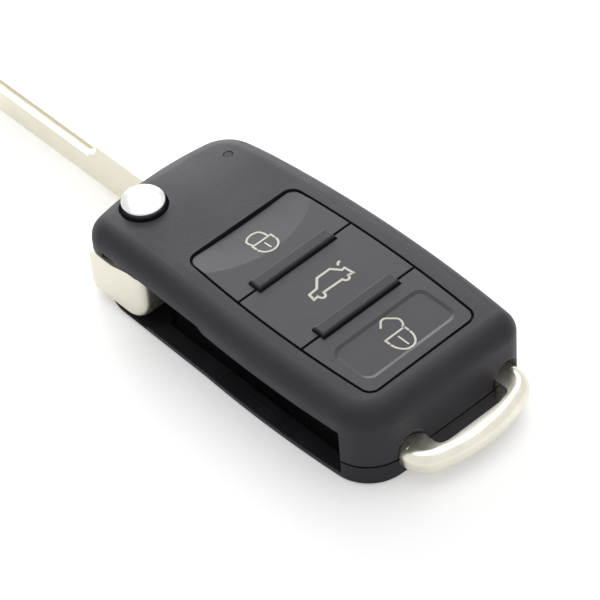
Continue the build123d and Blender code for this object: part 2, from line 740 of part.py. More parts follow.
# Hub: cast metal block that carries the blade and turns between the shells
with BuildPart() as key_hub:
    with BuildSketch(Plane.XY.offset(hub_bottom_z)):
        with Locations(pivot):
            add(hub_front_plan())
    extrude(amount=hub_top_z - hub_bottom_z, taper=hub_draft)
    # Rounded heel towards the slot, then soft edges round the front face and along the foot
    heel_place = (pivot_x + hub_corner, pivot_y - hub_corner / 2, hub_bottom_z)
    fillet(key_hub.edges().sort_by_distance(heel_place)[0], hub_heel_radius)
    front_face = key_hub.faces().sort_by(Axis.Y)[0]
    front_edges = front_face.edges().filter_by(
        lambda edge: edge.center().Z < hub_top_z - pick_distance
        and (edge.center().X > pivot_x or edge.center().Z < hub_bottom_z + pick_distance))
    foot_edges = key_hub.faces().sort_by(Axis.Z)[0].edges().filter_by(
        lambda edge: edge.center().Y < pivot_y and edge.center().X < pivot_x)
    fillet(ShapeList({*front_edges, *foot_edges}), hub_edge_radius)
    with BuildSketch(Plane.XY.offset(hub_bottom_z)):
        with Locations(pivot):
            add(hub_back_plan())
    extrude(amount=hub_top_z - hub_bottom_z, taper=hub_draft)
    add(hub_step.part, mode=Mode.SUBTRACT)
    with Locations((pivot_x, pivot_y, bore_floor_z)):
        Cylinder(hub_boss_diameter / 2, boss_top_z - bore_floor_z, align=on_floor)
    with Locations((pivot_x, pivot_y, bore_floor_z)):
        Cylinder(hub_bore_diameter / 2, reach, align=on_floor, mode=Mode.SUBTRACT)
    with Locations((pivot_x, pivot_y, 0)):
        Cylinder(post_diameter / 2 + running_clearance, post_top_z + recess_clearance,
                 align=on_floor, mode=Mode.SUBTRACT)
    # Keyways for the release button's lugs
    keyway_z = release_bottom_z - release_travel - recess_clearance
    with Locations((pivot_x, pivot_y, keyway_z)):
        Box(release_flange_diameter + 2 * (release_lug_reach + recess_clearance),
            release_lug_width + 2 * recess_clearance, reach, align=on_floor, mode=Mode.SUBTRACT)
    # Seat for the blade's root, and the pocket for its tang
    root_x = pivot_x - hub_left + root_inset
    add(block(-reach, root_x, blade_face_y - tang_clearance, blade_y + blade_thickness,
              0, blade_bottom_z + blade_root_height + tang_clearance), mode=Mode.SUBTRACT)
    add(block(-reach, tang_end_x, blade_face_y - tang_clearance,
              blade_face_y + tang_thickness + tang_clearance, tang_bottom_z - tang_clearance,
              tang_bottom_z + tang_height + tang_clearance), mode=Mode.SUBTRACT)
    pin_z = tang_bottom_z + tang_height / 2
    pin_low_y = blade_face_y - pin_lead
    with Locations(Location((pin_x, pin_low_y, pin_z), (-90, 0, 0))):
        Cylinder(pin_diameter / 2 + tang_clearance, far, align=on_floor, mode=Mode.SUBTRACT)
key_hub.part.label = "key_hub"
export_step(key_hub.part, "parts/key_hub.step")

# Key blade: uncut blank with a deep root, a milled shoulder and a step along two edges
with BuildPart() as key_blade:
    with BuildSketch(Plane.XZ.offset(-blade_face_y)):
        with BuildLine():
            root_top_z = blade_bottom_z + blade_root_height
            shank_top_z = blade_bottom_z + blade_shank_height
            tip_low = (blade_tip_x + blade_tip_bevel, blade_bottom_z)
            Polyline(tip_low, (root_x, blade_bottom_z), (root_x, root_top_z),
                     (blade_shoulder_x, root_top_z), (blade_shoulder_x, shank_top_z),
                     (blade_tip_x + blade_tip_bevel, shank_top_z),
                     (blade_tip_x, shank_top_z - blade_tip_bevel),
                     (blade_tip_x, blade_bottom_z + blade_tip_bevel), tip_low)
        make_face()
    extrude(amount=-blade_thickness)
    inner_place = (blade_shoulder_x, blade_y, shank_top_z)
    outer_place = (blade_shoulder_x, blade_y, root_top_z)
    fillet(key_blade.edges().filter_by(Axis.Y).sort_by_distance(inner_place)[0], blade_shoulder_radius)
    fillet(key_blade.edges().filter_by(Axis.Y).sort_by_distance(outer_place)[0], blade_corner_radius)
    # Steps milled along the upper front edge and the lower back edge
    rebate_end_x = blade_shoulder_x - blade_shoulder_radius
    add(block(-reach, rebate_end_x, blade_face_y - overcut, blade_face_y + rebate_depth,
              shank_top_z - rebate_height, reach), mode=Mode.SUBTRACT)
    add(block(-reach, rebate_end_x, blade_face_y + blade_thickness - rebate_depth, far,
              -reach, blade_bottom_z + rebate_height), mode=Mode.SUBTRACT)
    add(block(root_x - tang_lap, tang_end_x - tang_clearance, blade_face_y,
              blade_face_y + tang_thickness, tang_bottom_z, tang_bottom_z + tang_height))
    with Locations(Location((pin_x, pin_low_y, pin_z), (-90, 0, 0))):
        Cylinder(pin_diameter / 2 + tang_clearance, far, align=on_floor, mode=Mode.SUBTRACT)
key_blade.part.label = "key_blade"
export_step(key_blade.part, "parts/key_blade.step")

# Roll pin: split tube that locks the tang in the hub
with BuildPart() as roll_pin:
    pin_length = blade_thickness + pin_overhang
    with Locations(Location((pin_x, pin_low_y, pin_z), (-90, 0, 0))):
        Cylinder(pin_diameter / 2, pin_length, align=on_floor)
        Cylinder(pin_diameter / 4, pin_length, align=on_floor, mode=Mode.SUBTRACT)
        Box(pin_slit, pin_diameter, pin_length, align=(Align.CENTER, Align.MIN, Align.MIN),
            mode=Mode.SUBTRACT)
roll_pin.part.label = "roll_pin"
export_step(roll_pin.part, "parts/roll_pin.step")

# Washer under the hub
with BuildPart() as hub_washer:
    with BuildSketch(Plane.XY.offset(head_floor_thickness)):
        with Locations(pivot):
            Circle(washer_diameter / 2)
            Circle(post_diameter / 2 + running_clearance, mode=Mode.SUBTRACT)
    extrude(amount=washer_thickness)
hub_washer.part.label = "hub_washer"
export_step(hub_washer.part, "parts/hub_washer.step")

# Release button: chrome dome on a flange whose lugs ride in the hub's keyways
with BuildPart() as release_button:
    with BuildSketch(Plane(origin=(pivot_x, pivot_y, 0), x_dir=(1, 0, 0), z_dir=(0, -1, 0))):
        with BuildLine():
            dome_r, flange_r = dome_diameter / 2, release_flange_diameter / 2
            stem_r = release_stem_diameter / 2
            dome_top_z = case_height + dome_rise
            skirt_z = case_height + dome_skirt_rise
            ball = (dome_r**2 + (dome_top_z - skirt_z) ** 2) / (2 * (dome_top_z - skirt_z))
            stem_z = bore_floor_z + release_travel + release_stem_gap
            middle_z = dome_top_z - ball + sqrt(ball**2 - (dome_r / 2) ** 2)
            ThreePointArc((0, dome_top_z), (dome_r / 2, middle_z), (dome_r, skirt_z))
            Polyline((dome_r, skirt_z), (dome_r, boss_top_z), (flange_r, boss_top_z),
                     (flange_r, release_bottom_z), (stem_r, release_bottom_z), (stem_r, stem_z), (0, stem_z),
                     (0, dome_top_z))
        make_face()
    revolve(axis=Axis((pivot_x, pivot_y, 0), (0, 0, 1)))
    dome_rim = release_button.edges().filter_by_position(Axis.Z, skirt_z - pick_distance,
                                                         skirt_z + pick_distance)
    fillet(dome_rim, dome_edge_radius)
    with Locations((pivot_x, pivot_y, release_bottom_z)):
        Box(release_flange_diameter + 2 * release_lug_reach, release_lug_width, release_flange_height,
            align=on_floor)
release_button.part.label = "release_button"
export_step(release_button.part, "parts/release_button.step")

# Flip spring: coil round the release button's stem, wound to throw the hub open
with BuildPart() as flip_spring:
    coil_radius = (hub_bore_diameter - spring_wire) / 2 - spring_clearance
    coil_low_z = bore_floor_z + spring_wire / 2
    coil_height = release_bottom_z - spring_wire / 2 - recess_clearance - coil_low_z
    with BuildLine() as coil_line:
        Helix(coil_height / spring_turns, coil_height, coil_radius, center=(pivot_x, pivot_y, coil_low_z))
    with BuildSketch(Plane(origin=coil_line.line @ 0, z_dir=coil_line.line % 0)):
        Circle(spring_wire / 2)
    sweep(path=coil_line.line, is_frenet=True)
flip_spring.part.label = "flip_spring"
export_step(flip_spring.part, "parts/flip_spring.step")


def button_body(low_x, high_x):
    """One button: a cap up to the field's surface on a flange that the shell's ledge holds down."""
    with BuildPart() as body:
        with BuildSketch(Plane.XY.offset(button_bottom_z)):
            add(field_plan(-button_gap / 2))
        extrude(amount=case_height - button_bottom_z)
        with BuildSketch(Plane.XY.offset(button_bottom_z)):
            add(field_plan(button_flange))
        extrude(amount=button_flange_height)
        add(block(low_x, high_x, -far, far, 0, far), mode=Mode.INTERSECT)
        for ridge_x in (lock_ridge_x, unlock_ridge_x):
            add(block(ridge_x - ridge_width / 2 - ridge_far_gap, ridge_x + ridge_width / 2 + ridge_near_gap,
                      -ridge_half_length - ridge_end_gap, ridge_half_length + ridge_end_gap, 0, far),
                mode=Mode.SUBTRACT)
    return body.part


# Lock button, with a shallow scoop that runs in from the head end
lock_blank = button_body(-reach, lock_split_x - button_gap / 2)
with BuildPart() as lock_button:
    add(lock_blank)
    ball = (lock_scoop_radius**2 + lock_scoop_depth**2) / (2 * lock_scoop_depth)
    with Locations((lock_scoop_x, 0, case_height + ball - lock_scoop_depth)):
        Sphere(ball, mode=Mode.SUBTRACT)
lock_button.part.label = "lock_button"
export_step(lock_button.part, "parts/lock_button.step")

# Trunk button, flat, between the two bars
trunk_blank = button_body(lock_split_x + button_gap / 2, unlock_split_x - button_gap / 2)
with BuildPart() as trunk_button:
    add(trunk_blank)
trunk_button.part.label = "trunk_button"
export_step(trunk_button.part, "parts/trunk_button.step")

# Unlock button, with a shallow dish across it
unlock_blank = button_body(unlock_split_x + button_gap / 2, reach)
with BuildPart() as unlock_button:
    add(unlock_blank)
    with BuildSketch(Plane.XY.offset(case_height)):
        with Locations((dish_x, 0)):
            RectangleRounded(dish_length, dish_width, dish_corner_radius)
    extrude(amount=-dish_depth, taper=dish_taper, mode=Mode.SUBTRACT)
unlock_button.part.label = "unlock_button"
export_step(unlock_button.part, "parts/unlock_button.step")

# Button mat: soft sheet with one raised pad under each button
with BuildPart() as button_mat:
    with BuildSketch(Plane.XY.offset(mat_top_z - mat_thickness)):
        add(field_plan(-mat_inset))
    extrude(amount=mat_thickness)
    with BuildSketch(Plane.XY.offset(mat_top_z)):
        with Locations((lock_x, 0), (trunk_x, 0), (unlock_x, 0)):
            RectangleRounded(mat_pad_length, mat_pad_width, mat_pad_corner_radius)
    extrude(amount=button_bottom_z - mat_button_gap - mat_top_z)
button_mat.part.label = "button_mat"
export_step(button_mat.part, "parts/button_mat.step")

# Circuit board, with a tongue beside the hub for the indicator
with BuildPart() as circuit_board:
    with BuildSketch(Plane.XY.offset(board_z)):
        with Locations((bay_head_x + 2 * board_clearance, slot_face_y + board_clearance)):
            Rectangle(bay_tail_x - bay_head_x - 4 * board_clearance, -2 * (slot_face_y + board_clearance),
                      align=(Align.MIN, Align.MIN))
        with Locations((tongue_end_x, tongue_y)):
            Rectangle(bay_head_x - tongue_end_x + tongue_lap, tongue_width, align=(Align.MIN, Align.CENTER))
        with Locations(*screw_positions):
            Circle(screw_boss_diameter / 2 + board_clearance, mode=Mode.SUBTRACT)
    extrude(amount=board_thickness)
circuit_board.part.label = "circuit_board"
export_step(circuit_board.part, "parts/circuit_board.step")

# Click switches under the three buttons
for switch_name, switch_x in (("lock", lock_x), ("trunk", trunk_x), ("unlock", unlock_x)):
    with BuildPart() as click_switch:
        with Locations((switch_x, 0, board_top_z)):
            Box(switch_size, switch_size, switch_height, align=on_floor)
        fillet(click_switch.edges().filter_by(Axis.Z), switch_corner_radius)
        with Locations((switch_x, 0, board_top_z + switch_height)):
            Cylinder(switch_plunger_diameter / 2, switch_plunger_height, align=on_floor)
    click_switch.part.label = switch_name + "_switch"
    export_step(click_switch.part, "parts/" + switch_name + "_switch.step")

# Control chip: a flat package with legs along two sides
with BuildPart() as remote_chip:
    with Locations((*chip_position, board_top_z + chip_lift)):
        Box(*chip_size, align=on_floor)
    chamfer(remote_chip.faces().sort_by(Axis.Z)[-1].edges(), chip_chamfer)
    with Locations((*chip_position, board_top_z)):
        with GridLocations(chip_leg_pitch, chip_size[1] + chip_leg_reach, chip_leg_count, 2):
            Box(*chip_leg_size, align=on_floor)
remote_chip.part.label = "remote_chip"
export_step(remote_chip.part, "parts/remote_chip.step")

# Crystal in its metal can
with BuildPart() as crystal:
    with Locations((*crystal_position, board_top_z)):
        Box(*crystal_size, align=on_floor)
    fillet(crystal.edges().filter_by(Axis.Z), crystal_corner_radius)
crystal.part.label = "crystal"
export_step(crystal.part, "parts/crystal.step")

# Antenna coil under the board: a ferrite core with a winding round its middle
with BuildPart() as antenna_coil:
    with Locations((window_x, battery_y, board_z)):
        Box(*coil_size, align=(Align.CENTER, Align.CENTER, Align.MAX))
    with BuildSketch(Plane.YZ.offset(window_x)):
        with Locations((battery_y, board_z - coil_size[2] / 2)):
            RectangleRounded(coil_size[1] + 2 * winding_thickness, coil_size[2], winding_corner_radius)
    extrude(amount=coil_size[0] / 3, both=True)
antenna_coil.part.label = "antenna_coil"
export_step(antenna_coil.part, "parts/antenna_coil.step")

# Transponder: sealed wedge in the head cover's fence
with BuildPart() as transponder:
    with Locations((transponder_x, transponder_y, floor_thickness)):
        Box(*transponder_size, align=on_floor)
    chamfer(transponder.edges().filter_by(Axis.Y).group_by(Axis.Z)[-1], transponder_chamfer)
transponder.part.label = "transponder"
export_step(transponder.part, "parts/transponder.step")

# Coin battery
with BuildPart() as coin_battery:
    with Locations((battery_x, battery_y, battery_bottom_z)):
        Cylinder(battery_diameter / 2, battery_height - battery_cap_height, align=on_floor)
        Cylinder(battery_cap_diameter / 2, battery_height, align=on_floor)
    fillet(coin_battery.faces().sort_by(Axis.Z)[0].edges(), battery_edge_radius)
coin_battery.part.label = "coin_battery"
export_step(coin_battery.part, "parts/coin_battery.step")

# Battery contacts: a leaf on the cell's cap, and one that grips its side
with BuildPart() as negative_contact:
    with BuildSketch(Plane.XZ.offset(-battery_y)):
        with BuildLine():
            leaf_z = battery_bottom_z + battery_height + contact_thickness / 2
            Polyline((battery_x - leaf_far, leaf_z), (battery_x - leaf_bend, leaf_z),
                     (battery_x, leaf_z + leaf_rise), (battery_x, board_z))
        trace(line_width=contact_thickness)
    extrude(amount=contact_width / 2, both=True)
    add(block(-reach, reach, -far, far, -overcut, board_z), mode=Mode.INTERSECT)
negative_contact.part.label = "negative_contact"
export_step(negative_contact.part, "parts/negative_contact.step")

with BuildPart() as positive_contact:
    side_leaf_x = battery_x + battery_diameter / 2 + contact_gap
    add(block(side_leaf_x, side_leaf_x + contact_thickness, battery_y - contact_width / 2,
              battery_y + contact_width / 2, battery_bottom_z + contact_lift, board_z))
positive_contact.part.label = "positive_contact"
export_step(positive_contact.part, "parts/positive_contact.step")

# Indicator lamp on the board's tongue, and the light guide up to the shell's surface
with BuildPart() as indicator_lamp:
    with Locations((lens_x, lens_y, board_top_z)):
        Box(*led_size, align=on_floor)
    fillet(indicator_lamp.edges().filter_by(Axis.Z), led_corner_radius)
indicator_lamp.part.label = "indicator_lamp"
export_step(indicator_lamp.part, "parts/indicator_lamp.step")

with BuildPart() as indicator_lens:
    lens_bottom_z = board_top_z + led_size[2] + board_clearance
    with Locations((lens_x, lens_y, lens_bottom_z)):
        lens_top_z = case_height - head_fall(lens_x) - lens_sink
        Cylinder(lens_diameter / 2, lens_top_z - lens_bottom_z, align=on_floor)
    fillet(indicator_lens.faces().sort_by(Axis.Z)[-1].edges(), lens_edge_radius)
indicator_lens.part.label = "indicator_lens"
export_step(indicator_lens.part, "parts/indicator_lens.step")

# Two screws that hold the inner frame up to the shell
with BuildPart() as frame_screws:
    for screw_x, screw_y in screw_positions:
        with Locations((screw_x, screw_y, board_z - plate_thickness)):
            Cylinder(screw_head_diameter / 2, screw_head_height,
                     align=(Align.CENTER, Align.CENTER, Align.MAX))
            Cylinder(screw_shank_diameter / 2, screw_length, align=on_floor)
    for screw_x, screw_y in screw_positions:
        with Locations((screw_x, screw_y, board_z - plate_thickness - screw_head_height)):
            Box(screw_slot_length, screw_slot_width, screw_slot_depth, align=on_floor, mode=Mode.SUBTRACT)
            Box(screw_slot_width, screw_slot_length, screw_slot_depth, align=on_floor, mode=Mode.SUBTRACT)
frame_screws.part.label = "frame_screws"
export_step(frame_screws.part, "parts/frame_screws.step")
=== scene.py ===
# %% [markdown]
# # Flip key remote
#
# This script dresses a flip key remote in Blender. The shapes come ready made from the packed
# model: the two-part case, the buttons, the sprung hub with its blade, and the loop for a key ring.
# What is left to do here is the camera, the light, the finishes and the printed symbols.

import json

import bpy
import numpy as np
from mathutils import Matrix


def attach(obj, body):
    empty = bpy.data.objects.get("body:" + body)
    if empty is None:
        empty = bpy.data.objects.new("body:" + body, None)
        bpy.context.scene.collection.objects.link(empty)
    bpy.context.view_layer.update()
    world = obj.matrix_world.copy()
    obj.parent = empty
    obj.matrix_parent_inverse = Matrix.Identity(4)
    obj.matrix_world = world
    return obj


MM = 0.001

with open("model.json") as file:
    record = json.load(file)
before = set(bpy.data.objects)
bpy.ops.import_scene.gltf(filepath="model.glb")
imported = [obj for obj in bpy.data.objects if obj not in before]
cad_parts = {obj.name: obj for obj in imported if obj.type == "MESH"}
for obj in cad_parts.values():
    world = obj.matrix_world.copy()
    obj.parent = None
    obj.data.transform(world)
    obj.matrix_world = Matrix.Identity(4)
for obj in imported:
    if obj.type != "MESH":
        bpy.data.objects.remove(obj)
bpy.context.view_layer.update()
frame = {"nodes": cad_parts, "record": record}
nodes = frame["nodes"]

# %% [markdown]
# ## Camera
#
# The remote was photographed from above its front right corner with a long lens, so its far edges
# look hardly smaller than its near ones. The angles, the distance and the focal length below were
# fitted to corners and edges whose places on the remote are known, so that the render lines up with
# the photograph.

# %% Camera at the photograph's angle
PHOTO_SIZE = 600
FOCAL_PIXELS = 2762.0
TURN, TILT, ROLL = np.radians([50.64, 45.85, -5.15])
SHIFT_RIGHT, SHIFT_UP, DISTANCE = 4.91 * MM, 2.12 * MM, 454.0 * MM
BUTTON_TOP = 16.5  # height of the buttons' flat top, in millimetres
SENSOR_WIDTH = 36.0  # millimetres, as the focal length below
NEAREST_SEEN = 10 * MM


def camera_axes(turn, tilt, roll):
    """Right, up and back directions of a camera that goes round by turn, up by tilt and rolls.

    Back points from the object to the camera: (sin turn cos tilt, -cos turn cos tilt, sin tilt).
    Right is level and square to it, up is back x right, and the roll turns both about back.
    """
    back = np.array([np.sin(turn) * np.cos(tilt), -np.cos(turn) * np.cos(tilt), np.sin(tilt)])
    level = np.array([np.cos(turn), np.sin(turn), 0.0])
    over = np.cross(back, level)
    right = level * np.cos(roll) + over * np.sin(roll)
    up = over * np.cos(roll) - level * np.sin(roll)
    return right, up, back


def placed(right, up, back, spot):
    """The matrix of a thing at spot whose own X, Y and Z point to right, up and back."""
    return Matrix(np.vstack([np.column_stack([right, up, back, spot]), [0, 0, 0, 1]]).tolist())


right, up, back = camera_axes(TURN, TILT, ROLL)
spot = back * DISTANCE - right * SHIFT_RIGHT - up * SHIFT_UP + np.array([0, 0, BUTTON_TOP * MM])
lens = bpy.data.cameras.new("camera")
lens.sensor_width = SENSOR_WIDTH
lens.lens = FOCAL_PIXELS / PHOTO_SIZE * SENSOR_WIDTH
lens.clip_start = NEAREST_SEEN
camera = bpy.data.objects.new("camera", lens)
camera.matrix_world = placed(right, up, back, spot)
bpy.context.scene.collection.objects.link(camera)
bpy.context.scene.camera = camera
print("camera at", np.round(spot, 4), "lens", round(lens.lens, 1), "mm")

# %% [markdown]
# ## Helpers for nodes
#
# The world, the floor and every finish are node trees, and the same few nodes turn up in all of
# them. Each helper below adds one node and hands back its output, so that a chain of nodes reads
# like a formula.

# %% One node each


def feed(tree, socket, value):
    """Sets an input socket to a number, or links another node's output to it."""
    if isinstance(value, (int, float)):
        socket.default_value = value
    else:
        tree.links.new(value, socket)


def combined(tree, operation, first, second):
    """A Math node over two sockets or numbers."""
    node = tree.nodes.new("ShaderNodeMath")
    node.operation = operation
    feed(tree, node.inputs[0], first)
    feed(tree, node.inputs[1], second)
    return node.outputs["Value"]


def ranged(tree, value, low, high, start=0.0, stop=1.0):
    """Maps value from start...stop to low...high."""
    spread = tree.nodes.new("ShaderNodeMapRange")
    spread.inputs["From Min"].default_value = start
    spread.inputs["From Max"].default_value = stop
    spread.inputs["To Min"].default_value = low
    spread.inputs["To Max"].default_value = high
    tree.links.new(value, spread.inputs["Value"])
    return spread.outputs["Result"]


# %% [markdown]
# ## Light and floor
#
# A studio product shot: one large soft lamp above, a low one behind on the left, and a pale
# room. The background is white because the floor and the world show white to the camera, not
# because more light falls on the remote, so the dark plastic keeps its colour.

# %% World and lamps
ROOM_LIGHT, ROOM_SEEN = 0.42, 1.0  # strength as light on the remote, and where it is seen
# Each lamp's place and width in metres, and its power in watts
LAMPS = {
    "key_lamp": ((-0.24, 0.19, 0.78), 1.10, 4.1),
    "back_lamp": ((-0.62, 0.42, 0.28), 0.50, 3.6),
}
WHITE = (1, 1, 1, 1)


def seen_directly(tree):
    """1 for rays from the camera, off polished metal or through glass, and 0 for all others."""
    path = tree.nodes.new("ShaderNodeLightPath")
    seen = path.outputs["Is Camera Ray"]
    for name in ("Is Glossy Ray", "Is Transmission Ray"):
        seen = combined(tree, "MAXIMUM", seen, path.outputs[name])
    return seen


def white_room():
    """The world: plain white where it is seen, and a softer level as light on the remote."""
    world = bpy.data.worlds.new("white room")
    world.use_nodes = True
    tree = world.node_tree
    background = tree.nodes["Background"]
    background.inputs["Color"].default_value = WHITE
    level = ranged(tree, seen_directly(tree), ROOM_LIGHT, ROOM_SEEN)
    tree.links.new(level, background.inputs["Strength"])
    return world


def soft_lamp(name, place, size, power):
    """A square area lamp that looks at the middle of the remote."""
    lamp = bpy.data.lights.new(name, "AREA")
    lamp.size = size
    lamp.energy = power
    thing = bpy.data.objects.new(name, lamp)
    away = np.array(place) / np.linalg.norm(place)
    side = np.cross([0, 0, 1], away)
    side /= np.linalg.norm(side)
    thing.matrix_world = placed(side, np.cross(away, side), away, place)
    bpy.context.scene.collection.objects.link(thing)


bpy.context.scene.world = white_room()
for lamp_name, (lamp_place, lamp_size, lamp_power) in LAMPS.items():
    soft_lamp(lamp_name, lamp_place, lamp_size, lamp_power)
print("lamps", list(LAMPS))

# %% [markdown]
# The floor is a wide sheet of white paper at the height of the remote's underside. It takes light and
# shadow like any paper, and where it is seen it also glows a little, so that it reaches white around
# the remote without any more light on the remote itself.

# %% Floor
FLOOR_HALF = 3.0
FLOOR_CORNERS = [(-1, -1), (1, -1), (1, 1), (-1, 1)]
floor_mesh = bpy.data.meshes.new("floor")
floor_mesh.from_pydata([(x * FLOOR_HALF, y * FLOOR_HALF, 0) for x, y in FLOOR_CORNERS], [],
                       [(0, 1, 2, 3)])
floor = bpy.data.objects.new("floor", floor_mesh)
bpy.context.scene.collection.objects.link(floor)

FLOOR_COLOUR = (0.90, 0.90, 0.90, 1)
FLOOR_ROUGHNESS, FLOOR_SPECULAR = 0.9, 0.1
FLOOR_GLOW = 0.34  # added only where the floor is seen, to bring its lit parts up to white
paper = bpy.data.materials.new("white paper")
paper.use_nodes = True
paper_shader = paper.node_tree.nodes["Principled BSDF"]
paper_shader.inputs["Base Color"].default_value = FLOOR_COLOUR
paper_shader.inputs["Roughness"].default_value = FLOOR_ROUGHNESS
paper_shader.inputs["Specular IOR Level"].default_value = FLOOR_SPECULAR
paper_shader.inputs["Emission Strength"].default_value = 1.0
glow = ranged(paper.node_tree, seen_directly(paper.node_tree), 0.0, FLOOR_GLOW)
paper.node_tree.links.new(glow, paper_shader.inputs["Emission Color"])
floor_mesh.materials.append(paper)

bpy.context.scene.view_settings.view_transform = "Standard"
print("floor", 2 * FLOOR_HALF, "m square")

# %% [markdown]
# ## Shared surface effects
#
# Three effects turn up on more than one finish, so each is a node group with its own inputs:
# the fine texture that a spark-eroded mould gives plastic, the drag lines of brushed metal, and the
# soft unevenness of plated castings. All of them read Object coordinates, because every piece sits
# at the origin and the pattern then stays put when the hub turns.

# %% Node groups
COARSE_SCALE, COARSE_SHARE = 0.45, 0.5
CLOUDS_PER_METRE, TONES_PER_METRE, SMUDGES_PER_METRE = 110.0, 260.0, 190.0


def new_group(name, inputs, outputs):
    """An empty shader node group with float inputs (name: default) and float outputs."""
    group = bpy.data.node_groups.new(name, "ShaderNodeTree")
    for label, default in inputs.items():
        socket = group.interface.new_socket(name=label, in_out="INPUT", socket_type="NodeSocketFloat")
        socket.default_value = default
    for label in outputs:
        group.interface.new_socket(name=label, in_out="OUTPUT", socket_type="NodeSocketFloat")
    return group, group.nodes.new("NodeGroupInput"), group.nodes.new("NodeGroupOutput")


def noise(tree, coordinates, scale, detail=2.0, roughness=0.5):
    """A noise texture on the given coordinates; scale is a number or a socket."""
    texture = tree.nodes.new("ShaderNodeTexNoise")
    texture.inputs["Detail"].default_value = detail
    texture.inputs["Roughness"].default_value = roughness
    tree.links.new(coordinates, texture.inputs["Vector"])
    feed(tree, texture.inputs["Scale"], scale)
    return texture.outputs["Fac"]


def mould_grain():
    """Group: spark-eroded mould texture, as a height and a faint shade.

    Height is fine noise plus half as much noise of about twice the size. Shade is very broad
    noise, for the cloudiness that handling gives matte plastic.
    """
    group, inside, out = new_group("mould grain", {"Grains per metre": 3600.0}, ("Height", "Shade"))
    where = group.nodes.new("ShaderNodeTexCoord").outputs["Object"]
    per_metre = inside.outputs["Grains per metre"]
    fine = noise(group, where, per_metre, detail=2.0)
    coarse = noise(group, where, combined(group, "MULTIPLY", per_metre, COARSE_SCALE), detail=1.0)
    height = combined(group, "ADD", fine, combined(group, "MULTIPLY", coarse, COARSE_SHARE))
    group.links.new(height, out.inputs["Height"])
    group.links.new(noise(group, where, CLOUDS_PER_METRE, detail=3.0), out.inputs["Shade"])
    return group


def brushing():
    """Group: parallel drag lines along X, from noise squeezed tightly across X.

    The coordinates are multiplied by (1, Tightness, Tightness) before the noise is read.
    """
    group, inside, out = new_group("brushing", {"Lines per metre": 90.0, "Tightness": 60.0},
                                   ("Height", "Tone"))
    where = group.nodes.new("ShaderNodeTexCoord").outputs["Object"]
    squeeze = group.nodes.new("ShaderNodeCombineXYZ")
    squeeze.inputs["X"].default_value = 1.0
    group.links.new(inside.outputs["Tightness"], squeeze.inputs["Y"])
    group.links.new(inside.outputs["Tightness"], squeeze.inputs["Z"])
    stretched = group.nodes.new("ShaderNodeVectorMath")
    stretched.operation = "MULTIPLY"
    group.links.new(where, stretched.inputs[0])
    group.links.new(squeeze.outputs["Vector"], stretched.inputs[1])
    lines = noise(group, stretched.outputs["Vector"], inside.outputs["Lines per metre"],
                  detail=4.0, roughness=0.6)
    group.links.new(lines, out.inputs["Height"])
    group.links.new(noise(group, where, TONES_PER_METRE, detail=3.0), out.inputs["Tone"])
    return group


def plated_casting():
    """Group: the low waves under bright plating, and the patches that fingers leave on it."""
    group, inside, out = new_group("plated casting", {"Waves per metre": 420.0}, ("Height", "Smudge"))
    where = group.nodes.new("ShaderNodeTexCoord").outputs["Object"]
    waves = noise(group, where, inside.outputs["Waves per metre"], detail=1.0)
    group.links.new(waves, out.inputs["Height"])
    smudges = noise(group, where, SMUDGES_PER_METRE, detail=5.0, roughness=0.65)
    group.links.new(smudges, out.inputs["Smudge"])
    return group


GROUPS = {"grain": mould_grain(), "brush": brushing(), "cast": plated_casting()}
print("groups", [group.name for group in GROUPS.values()])

# %% [markdown]
# ## Finishes
#
# Every material follows one plan: a Principled shader, one of the groups above for its bump, and a
# colour and a roughness that wander a little over the surface. `finish` builds that plan, and the
# tables after it hold what makes each finish itself.

# %% The plan that all finishes follow
PATCH_LOW, PATCH_HIGH = 0.35, 0.65  # the noise of the patches lies almost wholly between these
MIX_DARK, MIX_LIGHT, MIX_RESULT = 6, 7, 2  # the colour sockets of a Mix node, by number


def finish(name, effect, dark, light, rough, depth, metal=0.0, effect_values=None, **shader_values):
    """A material: colour from dark to light, roughness over rough, and depth of bump in millimetres.

    Colour and roughness follow the effect's patches: their first value where the patches are below
    PATCH_LOW, their second above PATCH_HIGH, and in proportion between.
    """
    material = bpy.data.materials.new(name)
    material.use_nodes = True
    tree = material.node_tree
    shader = tree.nodes["Principled BSDF"]
    pattern = tree.nodes.new("ShaderNodeGroup")
    pattern.node_tree = GROUPS[effect]
    for label, value in (effect_values or {}).items():
        pattern.inputs[label].default_value = value
    height, patches = pattern.outputs
    colour = tree.nodes.new("ShaderNodeMix")
    colour.data_type = "RGBA"
    colour.inputs[MIX_DARK].default_value = (*dark, 1)
    colour.inputs[MIX_LIGHT].default_value = (*light, 1)
    share = ranged(tree, patches, 0.0, 1.0, PATCH_LOW, PATCH_HIGH)
    tree.links.new(share, colour.inputs["Factor"])
    tree.links.new(colour.outputs[MIX_RESULT], shader.inputs["Base Color"])
    roughness = ranged(tree, patches, *rough, PATCH_LOW, PATCH_HIGH)
    tree.links.new(roughness, shader.inputs["Roughness"])
    bump = tree.nodes.new("ShaderNodeBump")
    bump.inputs["Strength"].default_value = 1.0
    bump.inputs["Distance"].default_value = depth * MM
    tree.links.new(height, bump.inputs["Height"])
    tree.links.new(bump.outputs["Normal"], shader.inputs["Normal"])
    shader.inputs["Metallic"].default_value = metal
    for label, value in shader_values.items():
        shader.inputs[label.replace("_", " ")].default_value = value
    return material
